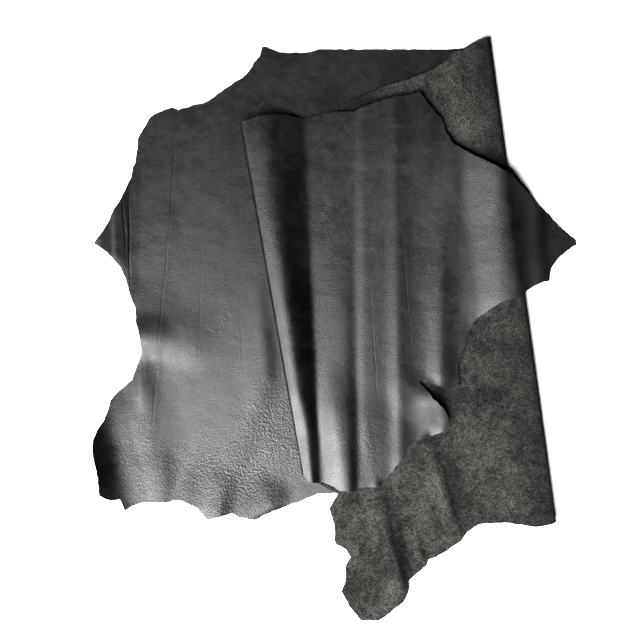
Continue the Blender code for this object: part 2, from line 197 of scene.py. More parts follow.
CHEEK = (
    Landmark(-515, -368, 1),
    Landmark(-520, -333, 0),
    Landmark(-531, -282, 1),
    Landmark(-533, -247, 2),
    Landmark(-512, -201, -1),
    Landmark(-501, -160, 2),
    Landmark(-453, -114, 1),
    Landmark(-431, -56, -3),
    Landmark(-442, 9, 1),
    Landmark(-445, 38, -1),
    Landmark(-459, 79, -3),
    Landmark(-480, 139, -5),
)
NECK_END = (
    Landmark(-540, 192, 0),
    Landmark(-533, 204, -2),
    Landmark(-500, 247, 2),
    Landmark(-479, 288, 0),
    Landmark(-457, 340, -3),
    Landmark(-441, 428, 1),
    Landmark(-412, 477, 2),
    Landmark(-367, 497, 1),
    Landmark(-351, 492, 1),
    Landmark(-295, 507, -1),
    Landmark(-261, 528, 1),
    Landmark(-212, 561, -1),
    Landmark(-189, 582, 1),
    Landmark(-169, 611, -1),
)
EDGE = (
    (NECK_LAYER, SPINE_OF_NECK),
    (MIDDLE_LAYER, SPINE_OF_MIDDLE),
    (BUTT_LAYER, SPINE_OF_BUTT),
    (BUTT_LAYER, BUTT_END),
    (BUTT_LAYER, HIND_SHANK),
    (BUTT_LAYER, FLANK),
    (MIDDLE_LAYER, BELLY),
    (MIDDLE_LAYER, FORE_SHANK),
    (MIDDLE_LAYER, BRISKET_OF_MIDDLE),
    (NECK_LAYER, BRISKET_OF_NECK),
    (NECK_LAYER, SHOULDER),
    (NECK_LAYER, CHEEK),
    (NECK_LAYER, NECK_END),
)

# The long waves of the butt layer, left to right: each is a straight crest or valley from the line
# y = WAVE_SPINE_Y to the line y = WAVE_BELLY_Y. Heights are above the layers underneath. sharp is 0
# for a round crest or valley, 1 for one that is a crease and below zero for one that is broad.
Wave = namedtuple("Wave", "spine_x belly_x spine_height belly_height sharp")
WAVE_SPINE_Y, WAVE_BELLY_Y = 515.0, -362.0
WAVES = (
    Wave(-211, -87, 32.0, 1.0, 1.5),
    Wave(-174, -49, 31.5, 22.0, 0.0),
    Wave(-69, -33, 1.0, 3.5, 1.2),
    Wave(1, 32, 4.8, 8.4, -0.2),
    Wave(45, 52, 7.3, 1.2, 1.0),
    Wave(63, 70, 11.6, 3.6, 0.5),
    Wave(102, 124, 13.8, 1.6, 0.6),
    Wave(134, 147, 15.6, 6.6, 1.5),
    Wave(173, 203, 12.0, 1.0, -0.3),
    Wave(239, 240, 12.3, 10.0, 1.0),
    Wave(275, 285, 16.0, 1.0, -0.3),
    Wave(435, 398, 12.0, 1.0, -0.3),
    Wave(498, 498, 0.5, 0.5, 0.0),
)

# The leather is too stiff for a sharp fold in a wave: each wave's height is the mean, with these
# weights, of the heights this far to its sides.
Share = namedtuple("Share", "offset weight")
ROUNDING = (Share(-8.0, 0.10), Share(-4.0, 0.25), Share(0.0, 0.30), Share(4.0, 0.25), Share(8.0, 0.10))

# A ridge is a soft roll along the line from (x1, y1) to (x2, y2), height high and left_width and
# right_width wide on its two sides, seen walking from its first end to its second. Its ends are
# round and reach end_run further. One with a height below zero is a trough.
Ridge = namedtuple("Ridge", "layer x1 y1 x2 y2 height left_width right_width end_run")
RIDGES = (
    Ridge(NECK_LAYER, -482, 43, -335, -39, 4.9, 105, 66, 79),
    Ridge(NECK_LAYER, -457, -34, -444, -31, 13.0, 73, 53, 107),
    Ridge(NECK_LAYER, -490, 167, -490, 296, 13.1, 44, 38, 87),
    Ridge(NECK_LAYER, -433, -128, -435, -107, 4.2, 22, 38, 76),
    Ridge(NECK_LAYER, -422, -396, -460, -221, 9.6, 67, 130, 193),
    Ridge(NECK_LAYER, -390, -404, -390, -325, 2.9, 84, 42, 73),
    Ridge(NECK_LAYER, -333, -399, -264, -420, 7.1, 130, 100, 41),
    Ridge(NECK_LAYER, -262, -426, -258, -381, 2.3, 36, 28, 78),
    Ridge(NECK_LAYER, -233, -446, -148, -401, 8.2, 89, 22, 71),
    Ridge(NECK_LAYER, -159, -105, -134, 68, 4.4, 70, 56, 99),
    Ridge(NECK_LAYER, -242, -338, -183, -177, 2.9, 65, 49, 73),
    Ridge(MIDDLE_LAYER, 40, 513, 240, 596, 4.0, 30, 32, 30),
    Ridge(MIDDLE_LAYER, 272, -455, 210, -254, 7.0, 45, 30, 40),
    Ridge(MIDDLE_LAYER, 432, -445, 380, -250, 8.0, 120, 60, 80),
    Ridge(MIDDLE_LAYER, 156, -572, 136, -458, 10.0, 55, 24, 30),
    Ridge(MIDDLE_LAYER, 132, -430, 98, -352, 6.0, 50, 24, 30),
    Ridge(BUTT_LAYER, 9, -223, 20, -297, 8.0, 77, 49, 160),
    Ridge(BUTT_LAYER, 366, 68, 372, 395, 10.5, 91, 110, 105),
    Ridge(BUTT_LAYER, 290, 405, 372, 375, 6.0, 60, 170, 60),
    Ridge(BUTT_LAYER, 238, -107, 246, -108, 2.0, 104, 13, 41),
    Ridge(BUTT_LAYER, 218, -170, 261, -207, 5.8, 49, 73, 131),
    Ridge(BUTT_LAYER, 167, -291, 218, -282, 1.9, 55, 42, 95),
    Ridge(BUTT_LAYER, 84, -254, 95, -330, 3.0, 63, 30, 144),
    Ridge(BUTT_LAYER, 228, -145, 262, -187, 6.0, 14, 62, 38),
    Ridge(BUTT_LAYER, -57, -360, -71, -250, -9.0, 38, 30, 120),
)

# Finer rolls and creases than the solid has, in the same form.
FINE_RIDGES = (
    Ridge(NECK_LAYER, -398, -80, -369, 245, 0.5, 80, 14, 40),
    Ridge(NECK_LAYER, -408, -240, -398, -80, 0.8, 70, 14, 60),
    Ridge(NECK_LAYER, -480, 190, -486, 290, -1.2, 14, 16, 40),
    Ridge(NECK_LAYER, -462, 102, -455, 307, 2.5, 26, 26, 100),
    Ridge(MIDDLE_LAYER, 279, -460, 252, -395, 5.0, 30, 18, 26),
    Ridge(MIDDLE_LAYER, 243, -370, 213, -254, 4.0, 24, 12, 26),
    Ridge(MIDDLE_LAYER, 155, -575, 128, -464, 7.0, 30, 10, 30),
    Ridge(MIDDLE_LAYER, 134, -436, 98, -352, 3.0, 24, 11, 30),
    Ridge(MIDDLE_LAYER, 206, -514, 188, -470, 4.0, 24, 11, 20),
)

# A lifted edge curls up on the left of the line from (x1, y1) to (x2, y2): it is rise high where
# it is reach away from the line, and goes on straight from there.
Lift = namedtuple("Lift", "layer x1 y1 x2 y2 reach rise")
LIFTS = (
    Lift(NECK_LAYER, -414, -359, -460, -174, 71.0, 26.0),
)

UNCOVERED_RUN = 40.0  # how far left of the neck fold the neck layer's ridges are whole
BACK_ROLL_RUN = 105.0  # how far from the back fold the middle layer comes down onto the neck layer
SHANK_DROP_START, SHANK_DROP_END = 16.0, 60.0  # past the brisket, where the middle layer comes down
DROOP_START, DROOP_END = -20.0, 72.0  # where the butt layer goes over the back fold to the floor
BRIDGE_ROUNDING = 2.0  # how softly the butt layer comes onto a ridge of the middle layer

NECK_LEFT = -545.0  # left of the whole sheet, where the cuts across it start
FLAT_MAP = "flat_place"  # the map that keeps where each corner was on the flat sheet

# An oval place on a layer where the leather, or the shade painted on it, differs, turned by turn
# degrees. What makes it differ is depth strong in its middle and fades out to its edge.
Mark = namedtuple("Mark", "layer x y half_width half_length turn depth")
# Where the grain is pebbled, as it is on a belly.
PEBBLES = (
    Mark(NECK_LAYER, -230, -330, 230, 170, 0, 1.0),
    Mark(NECK_LAYER, -130, -240, 150, 200, 0, 1.0),
    Mark(NECK_LAYER, -420, -300, 120, 150, 0, 0.5),
    Mark(BUTT_LAYER, 70, -250, 120, 120, 0, 0.5),
)
# Where curly growth wrinkles show.
GROWTH = (
    Mark(NECK_LAYER, -275, 25, 90, 100, 0, 1.0),
    Mark(NECK_LAYER, -350, -70, 70, 60, 0, 0.6),
    Mark(BUTT_LAYER, 230, 250, 150, 130, 0, 0.5),
)
# Where the suede is painted darker: painted shade in the notch beside the lobe, in the strip by the
# butt layer's top edge and toward the back fold, a darker patch right of the notch, and nap lying the
# dark way on the paw.
SHADE_AND_DARK_NAP = (
    Mark(MIDDLE_LAYER, 367, -150, 70, 50, 20, 0.85),
    Mark(MIDDLE_LAYER, 420, -60, 150, 170, 0, 0.6),
    Mark(MIDDLE_LAYER, 62, -575, 80, 75, 0, 0.5),
    Mark(MIDDLE_LAYER, 240, -150, 34, 40, 0, 1.0),
    Mark(MIDDLE_LAYER, 50, 510, 150, 55, 18, 1.0),
)

# A long thin mark along the line from (x1, y1) to (x2, y2) on a layer.
Streak = namedtuple("Streak", "layer x1 y1 x2 y2 half_width depth")
# Painted shade in the suede's creases, on the sides turned away from the light.
CREASE_SHADE_STREAKS = (
    Streak(MIDDLE_LAYER, 232, -262, 288, -475, 12, 0.9),
    Streak(MIDDLE_LAYER, 248, -262, 300, -455, 40, 0.7),
    Streak(MIDDLE_LAYER, 98, -330, 162, -596, 14, 1.0),
    Streak(MIDDLE_LAYER, 132, -420, 170, -600, 32, 0.8),
    Streak(MIDDLE_LAYER, 188, -476, 212, -530, 8, 0.9),
)
# Painted shadow on the suede: near black in the notch beside the lobe and in the shank's deepest
# crease.
PAINTED_SHADE_STREAKS = (
    Streak(MIDDLE_LAYER, 210, -116, 266, -214, 17, 0.9),
    Streak(MIDDLE_LAYER, 128, -470, 166, -592, 9, 0.7),
)
# Paler suede: painted highlight on the sides of the creases that face the light, pale broad patches,
# and suede worn pale on the paw.
LIT_AND_WORN_STREAKS = (
    Streak(MIDDLE_LAYER, 205, -230, 262, -475, 26, 0.8),
    Streak(MIDDLE_LAYER, 72, -340, 92, -510, 24, 0.7),
    Streak(MIDDLE_LAYER, 190, -350, 212, -480, 26, 0.7),
    Streak(MIDDLE_LAYER, 132, -540, 112, -650, 30, 1.0),
    Streak(MIDDLE_LAYER, 285, 350, 310, 560, 85, 0.8),
    Streak(MIDDLE_LAYER, 330, -330, 430, -420, 70, 0.5),
)

# Along the back fold the suede's colour holds painted shade: near black on the bend, and darker
# further on, each up to a band in which it fades out. A band is in metres past the fold's line on the
# flat sheet.
BEND_SHADE_BAND = (0.013, 0.024)
FOLD_SHADE_BAND, FOLD_SHADE_DEPTH = (0.060, 0.160), 0.65
FOLD_SHADE_WANDER = 0.08  # how far the nap's own blotches push the second band about

# Long thin dents in the grain, left by older folds.
CREASES = (
    Mark(NECK_LAYER, -362, 350, 4.0, 190, -3, 0.8),
    Mark(NECK_LAYER, -384, 80, 4.0, 200, -5, 0.7),
    Mark(NECK_LAYER, -403, -160, 4.5, 150, -4, 0.4),
    Mark(NECK_LAYER, -459, 190, 4.0, 190, 1, 1.0),
    Mark(NECK_LAYER, -471, 235, 4.5, 110, 4, 1.0),
    Mark(NECK_LAYER, -300, 60, 3.5, 260, -2, 0.25),
    Mark(NECK_LAYER, -206, -40, 4.0, 200, 3, 0.25),
    Mark(BUTT_LAYER, 160, 120, 3.0, 260, 0, 0.35),
    Mark(BUTT_LAYER, 90, -60, 3.0, 240, -1, 0.3),
)
# Where the waxy grain has pale scuffs.
SCUFFED = (
    Mark(BUTT_LAYER, 120, 340, 300, 300, 0, 1.0),
    Mark(BUTT_LAYER, 330, 60, 200, 240, 0, 0.8),
    Mark(NECK_LAYER, -290, 240, 190, 260, 0, 0.6),
    Mark(NECK_LAYER, -260, -60, 230, 240, 0, 0.8),
)
# Where the black is a little bluer.
COOL = (
    Mark(NECK_LAYER, -330, 60, 560, 900, 0, 1.0),
)
# Where the grain is polished: depth is how much its roughness goes down.
POLISHED = (
    Mark(BUTT_LAYER, -2, -255, 42, 130, 0, 0.08),
    Mark(BUTT_LAYER, -78, 65, 45, 520, 5, 0.14),
    Mark(NECK_LAYER, -420, 260, 140, 240, 0, 0.06),
    Mark(NECK_LAYER, -530, -285, 90, 140, 0, 0.16),
)
# Where the grain is dull: depth is how much its roughness goes up.
DULL = (
    Mark(BUTT_LAYER, 218, -195, 50, 60, 0, 0.24),
    Mark(BUTT_LAYER, 150, 330, 240, 300, 0, 0.08),
    Mark(BUTT_LAYER, -155, 370, 60, 100, 0, 0.08),
    Mark(BUTT_LAYER, 133, -250, 30, 80, 0, 0.06),
    Mark(NECK_LAYER, -388, -30, 80, 70, 0, 0.08),
    Mark(NECK_LAYER, 80, 600, 380, 150, 0, 0.07),
    Mark(NECK_LAYER, -300, 310, 120, 220, 0, 0.04),
    Mark(BUTT_LAYER, 285, 240, 50, 260, 0, 0.06),
)

# A noise: its blotches are about size metres across, each of its detail finer steps is roughness
# times as strong as the one before, and distortion twists it.
Blotches = namedtuple("Blotches", "size detail roughness distortion")
CLOUDS = Blotches(0.090, 5.0, 0.60, 0.6)
SMUDGES = Blotches(0.020, 5.0, 0.65, 0.3)
SCUFFS = Blotches(0.055, 7.0, 0.68, 1.6)
VEINS = Blotches(0.075, 5.0, 0.55, 0.5)
CURLS = Blotches(0.060, 2.0, 0.55, 0.5)
PORES = Blotches(0.0024, 3.0, 0.60, 0.0)
DENTS = Blotches(0.045, 3.0, 0.50, 0.0)
NAP = Blotches(0.085, 5.0, 0.55, 0.6)
TUFTS = Blotches(0.021, 5.0, 0.62, 0.8)
FIBRES = Blotches(0.002, 3.0, 0.70, 0.0)
PEBBLE_SIZE, SPECK_SIZE = 0.0046, 0.0022  # metres

# How places are pushed about before a pattern is laid on them: by up to half of reach metres, in
# swirls about size metres across.
Swirl = namedtuple("Swirl", "size reach")
SWIRL_DETAIL = 3.0
GRAIN_SWIRL, CREASE_SWIRL = Swirl(0.07, 0.05), Swirl(0.09, 0.010)
SUEDE_SWIRL, STREAK_SWIRL = Swirl(0.05, 0.03), Swirl(0.04, 0.010)

# A pattern's effect goes from none to all over this part of its values.
WAX_COLOUR_RANGE, WAX_SHINE_RANGE = (0.38, 0.62), (0.36, 0.64)
SCUFF_RANGE, NAP_RANGE = (0.50, 0.68), (0.39, 0.61)
CLOUD_SHARE, NAP_SHARE = 0.5, 0.45  # the rest of the wax is smudges, and of the nap tufts
NOISE_MIDDLE = 0.5
VEIN_WIDTH, CURL_WIDTH = 0.022, 0.012  # how far from the noise's middle value a line goes

# Depths of the patterns' relief in metres, below zero for a dent.
PORE_RELIEF, PEBBLE_RELIEF, DENT_RELIEF = 0.0006, 0.0008, 0.0010
CURL_RELIEF, CREASE_RELIEF = -0.0003, -0.0006
SPECK_RELIEF, NAP_RELIEF, FIBRE_RELIEF = 0.0016, 0.003, 0.0006

GRAIN_ROUGHNESS, VEIN_ROUGHNESS = (0.335, 0.440), 0.02
GRAIN_DARK = (0.0009, 0.0008, 0.0008, 1.0)
GRAIN_PALE = (0.0017, 0.0016, 0.0015, 1.0)
GRAIN_COOL = (0.0011, 0.0015, 0.0019, 1.0)
GRAIN_SCUFFED = (0.0085, 0.0085, 0.0080, 1.0)
GRAIN_SPECULAR = 0.34
SUEDE_DARK = (0.0098, 0.0098, 0.0090, 1.0)
SUEDE_PALE = (0.0256, 0.0253, 0.0232, 1.0)
SUEDE_LIT_AND_WORN = (0.0310, 0.0306, 0.0282, 1.0)
SUEDE_SHADE_AND_DARK_NAP = (0.0046, 0.0046, 0.0043, 1.0)
SUEDE_PAINTED_SHADE = (0.0006, 0.0006, 0.0006, 1.0)
SUEDE_ROUGHNESS, SUEDE_SPECULAR = 0.95, 0.04
SPECK_SHADES = (0.38, 1.62)  # how bright the darkest and the palest specks of the suede are
EDGE_DARK = (0.004, 0.004, 0.004, 1.0)
EDGE_PALE = (0.022, 0.021, 0.019, 1.0)
EDGE_ROUGHNESS = 0.85
FLOOR_WHITE = (0.92, 0.92, 0.92, 1.0)
FLOOR_ROUGHNESS, FLOOR_SPECULAR = 0.9, 0.1
FLOOR_HALF = 1.7  # metres
SHARP_ANGLE = 50.0  # degrees, above which the edge between two faces is shaded as sharp

# One window lights the hide from the lower left of the picture. Metres and watts.
WINDOW_PLACE, WINDOW_TARGET = (-1.34, -1.74, 2.58), (-0.05, -0.05, 0.0)
WINDOW_SIDE, WINDOW_POWER = 2.6, 830.0
WHITE = (1.0, 1.0, 1.0, 1.0)

LENS, SENSOR = 50.0, 36.0  # millimetres
CAMERA_HEIGHT = 2.0  # metres
VIEW_MIDDLE = (-31.5, 20.0)  # in the lay plan


def outward(fold):
    """The unit vector that points out of a fold, across it."""
    across = np.array((fold.side, fold.side * fold.lean))
    return across / np.linalg.norm(across)


def past_fold(fold, places):
    """How far places are beyond the fold's outermost line. It is below zero inside."""
    return (places - np.array((fold.x_at_zero, 0.0))) @ outward(fold)


def radius_at(fold, places):
    """The radius of a fold's bend, which changes along the fold."""
    along_y = places[:, 1] - past_fold(fold, places) * outward(fold)[1]
    share = np.clip((along_y - fold.spine_y) / (fold.belly_y - fold.spine_y), 0.0, 1.0)
    return fold.spine_radius + share * (fold.belly_radius - fold.spine_radius)


def unfold_once(fold, places):
    """The places on the opened sheet of places on the sheet folded back over a fold."""
    spare = (math.pi - 2.0) * radius_at(fold, places)
    return places + np.outer(spare - 2.0 * past_fold(fold, places), outward(fold))


def unfold(layer, places):
    """The places on the flat sheet of a layer's places in the lay plan."""
    if layer == BUTT_LAYER:
        places = unfold_once(NECK_FOLD, places)
    if layer != NECK_LAYER:
        places = unfold_once(BACK_FOLD, places)
    return places


def smooth_step(value, start, end):
    """Goes smoothly from 0, where value is start, to 1, where it is end."""
    share = np.clip((value - start) / (end - start), 0.0, 1.0)
    return share * share * (3.0 - 2.0 * share)


def along_and_left(line, places):
    """How far along a table's line places are, and how far to its left, with the line's length."""
    run = np.array((line.x2 - line.x1, line.y2 - line.y1))
    length = np.linalg.norm(run)
    offset = places - np.array((line.x1, line.y1))
    return offset @ run / length, offset @ np.array((-run[1], run[0])) / length, length


def ridge_height(ridge, places):
    """A round hump over the ridge's line, level with the layer where its widths end."""
    along, left, length = along_and_left(ridge, places)
    beyond = along - np.clip(along, 0.0, length)
    width = np.where(left > 0, ridge.left_width, ridge.right_width)
    share = np.minimum(np.hypot(left / width, beyond / ridge.end_run), 1.0)
    return ridge.height * (1.0 - share) ** 2 * (1.0 + 2.0 * share)


def lift_height(lift, places):
    """A curl that gets steeper up to the lift's reach."""
    share = np.maximum(along_and_left(lift, places)[1], 0.0) / lift.reach
    return lift.rise * np.where(share < 1.0, share * share, 2.0 * share - 1.0)


def relief(layer, places):
    """The height of a layer's own ridges and lifted edges."""
    height = np.zeros(len(places))
    for ridge in RIDGES + FINE_RIDGES:
        if ridge.layer == layer:
            height += ridge_height(ridge, places)
    for lift in LIFTS:
        if lift.layer == layer:
            height += lift_height(lift, places)
    return height


def wave_at(wave, y):
    """A wave's x and height at these y."""
    share = (WAVE_SPINE_Y - y) / (WAVE_SPINE_Y - WAVE_BELLY_Y)
    x = wave.spine_x + share * (wave.belly_x - wave.spine_x)
    share = np.clip(share, 0.0, 1.0)
    return x, wave.spine_height + share * (wave.belly_height - wave.spine_height)


def sharp_wave(places):
    """The height of the butt layer's waves: a curve from each crest or valley to the next."""
    height = wave_at(WAVES[0], places[:, 1])[1]
    for left, right in zip(WAVES, WAVES[1:]):
        left_x, left_height = wave_at(left, places[:, 1])
        right_x, right_height = wave_at(right, places[:, 1])
        share = np.clip((places[:, 0] - left_x) / (right_x - left_x), 0.0, 1.0)
        climb = share * share * (3.0 - 2.0 * share)
        climb += left.sharp * share * (1.0 - share) ** 2
        climb -= right.sharp * share * share * (1.0 - share)
        climbed = left_height + climb * (right_height - left_height)
        height = np.where(places[:, 0] > left_x, climbed, height)
    return height


def wave_height(places):
    """The height of the butt layer's waves, rounded as stiff leather is."""
    return sum(share.weight * sharp_wave(places + (share.offset, 0.0)) for share in ROUNDING)


def brisket_y(x):
    """The hidden brisket edge of the neck layer, which the middle layer passes over."""
    first, last = BRISKET_OF_NECK[-1], BRISKET_OF_NECK[0]
    return first.y + (x - first.x) / (last.x - first.x) * (last.y - first.y)


def neck_height(places):
    """The middle of the sheet's thickness on the lowest layer, which is flat under the others."""
    uncovered = smooth_step(past_fold(NECK_FOLD, places), 0.0, UNCOVERED_RUN)
    return THICKNESS / 2.0 + uncovered * relief(NECK_LAYER, places)


def back_roll(places):
    """How much the back fold's bend holds the middle layer up."""
    radius = radius_at(BACK_FOLD, places)
    held = smooth_step(past_fold(BACK_FOLD, places), -BACK_ROLL_RUN - radius, -radius)
    return held * (2.0 * radius - LAYER_STEP)


def middle_height(places):
    """The middle of the middle layer, which comes down to the floor past the neck layer's edge."""
    past_brisket = brisket_y(places[:, 0]) - places[:, 1]
    beyond_neck = smooth_step(past_brisket, SHANK_DROP_START, SHANK_DROP_END)
    lying = THICKNESS / 2.0 + LAYER_STEP * (1.0 - beyond_neck)
    return lying + back_roll(places) + relief(MIDDLE_LAYER, places)


def butt_height(places):
    """The middle of the butt layer, whose own form bridges most ridges of the layer below."""
    over = 1.0 - smooth_step(past_fold(BACK_FOLD, places), DROOP_START, DROOP_END)
    own = wave_height(places) + relief(BUTT_LAYER, places)
    below = over * relief(MIDDLE_LAYER, places)
    higher = (own + below + np.hypot(own - below, BRIDGE_ROUNDING)) / 2.0
    return THICKNESS / 2.0 + over * (2.0 * LAYER_STEP + back_roll(places)) + higher


def through_bend(fold, places, height_before, height_after):
    """Points in a bend, where the sheet goes round from one layer to the next."""
    radius = radius_at(fold, places)
    across = outward(fold)
    line = places - np.outer(past_fold(fold, places), across)
    start = line - np.outer(radius, across)
    turn = past_fold(fold, places) / radius + 1.0
    lying = start + np.outer(radius * np.sin(turn), across)
    low, high = height_before(start), height_after(start)
    return np.column_stack((lying, low + (1.0 - np.cos(turn)) / 2.0 * (high - low)))


def fold_back(fold, places):
    """The places of the sheet past a fold, once it is turned back over the fold."""
    spare = (math.pi - 2.0) * radius_at(fold, places)
    return places - np.outer(2.0 * past_fold(fold, places) - spare, outward(fold))


def fold_sheet(flat):
    """The points in space of places on the flat sheet, at the middle of its thickness."""
    points = np.column_stack((flat, neck_height(flat)))
    turn = past_fold(BACK_FOLD, flat) / radius_at(BACK_FOLD, flat) + 1.0
    bent = (turn > 0.0) & (turn <= math.pi)
    points[bent] = through_bend(BACK_FOLD, flat[bent], neck_height, middle_height)
    past = turn > math.pi
    middle = fold_back(BACK_FOLD, flat[past])
    folded = np.column_stack((middle, middle_height(middle)))
    turn = past_fold(NECK_FOLD, middle) / radius_at(NECK_FOLD, middle) + 1.0
    bent = (turn > 0.0) & (turn <= math.pi)
    folded[bent] = through_bend(NECK_FOLD, middle[bent], middle_height, butt_height)
    butt = fold_back(NECK_FOLD, middle[turn > math.pi])
    folded[turn > math.pi] = np.column_stack((butt, butt_height(butt)))
    points[past] = folded
    return points


def flat_edge():
    """The closed edge of the flat sheet, with the straight or bowed way between landmarks."""
    marks, bulges = [], []
    for layer, landmarks in EDGE:
        marks.append(unfold(layer, np.array([(mark.x, mark.y) for mark in landmarks], float)))
        bulges += [mark.bulge for mark in landmarks]
    marks = np.concatenate(marks)
    points = []
    for start, end, bulge in zip(marks, np.roll(marks, -1, axis=0), bulges):
        chord = end - start
        length = np.linalg.norm(chord)
        share = np.arange(math.ceil(length / ARC_STEP))[:, None] / math.ceil(length / ARC_STEP)
        left = np.array((-chord[1], chord[0])) / length
        points.append(start + chord * share + left * (4.0 * bulge * share * (1.0 - share)))
    points = np.concatenate(points)
    nibbles = np.random.default_rng(EDGE_SEED).normal(0.0, EDGE_NIBBLE, points.shape)
    return points + (nibbles + np.roll(nibbles, 1, axis=0)) / 2.0


def cut(sheet, first, second):
    """Cuts the sheet along the straight line through two flat places."""
    run = second - first
    bmesh.ops.bisect_plane(
        sheet,
        geom=sheet.verts[:] + sheet.edges[:] + sheet.faces[:],
        dist=CUT_NEAR,
        plane_co=(first[0], first[1], 0.0),
        plane_no=(-run[1], run[0], 0.0),
    )


def bend_line(fold, share):
    """The flat places at both ends of a line that follows a bend, this share of the way round it."""
    y = np.array((WAVE_SPINE_Y, WAVE_BELLY_Y))
    line = np.column_stack((fold.x_at_zero - fold.lean * y, y))
    places = line + np.outer((share * math.pi - 1.0) * radius_at(fold, line), outward(fold))
    return places if fold is BACK_FOLD else unfold_once(BACK_FOLD, places)


def wave_line(wave):
    """The flat places at both ends of a wave's crest or valley."""
    ends = ((wave.spine_x, WAVE_SPINE_Y), (wave.belly_x, WAVE_BELLY_Y))
    return unfold(BUTT_LAYER, np.array(ends, float))


def cut_sheet(sheet):
    """Cuts the flat sheet into cells whose lines follow the waves and the folds."""
    top = max(vertex.co.y for vertex in sheet.verts)
    bottom = min(vertex.co.y for vertex in sheet.verts)
    lines = [np.array(((NECK_LEFT, WAVE_SPINE_Y), (NECK_LEFT, WAVE_BELLY_Y)))]
    for fold in (BACK_FOLD, NECK_FOLD):
        lines += [bend_line(fold, i / BEND_CUTS) for i in range(BEND_CUTS + 1)]
    lines += [wave_line(wave) for wave in WAVES[1:]]
    for first, last in zip(lines, lines[1:]):
        pieces = math.ceil(np.linalg.norm(last - first, axis=1).max() / CELL_ACROSS)
        for i in range(1, pieces + 1):
            cut(sheet, *(first + (last - first) * i / pieces))
    rows = math.ceil((top - bottom) / CELL_ALONG)
    for i in range(1, rows):
        y = bottom + i / rows * (top - bottom)
        cut(sheet, np.array((0.0, y)), np.array((1.0, y)))
    bmesh.ops.remove_doubles(sheet, verts=sheet.verts[:], dist=SHORTEST_EDGE)


def make_sheet():
    """The folded sheet without its thickness, with the flat places kept in its map."""
    sheet = bmesh.new()
    corners = [sheet.verts.new((x, y, 0.0)) for x, y in flat_edge()]
    sheet.faces.new(reversed(corners))
    cut_sheet(sheet)
    flat_map = sheet.loops.layers.uv.new(FLAT_MAP)
    for face in sheet.faces:
        face.smooth = True
        for loop in face.loops:
            loop[flat_map].uv = loop.vert.co.xy * MM
    mesh = bpy.data.meshes.new("hide_sheet")
    sheet.to_mesh(mesh)
    sheet.free()
    flat = np.empty(len(mesh.vertices) * 3)
    mesh.vertices.foreach_get("co", flat)
    points = fold_sheet(flat.reshape(-1, 3)[:, :2]) * MM
    mesh.vertices.foreach_set("co", points.ravel())
    mesh.update()
    return mesh


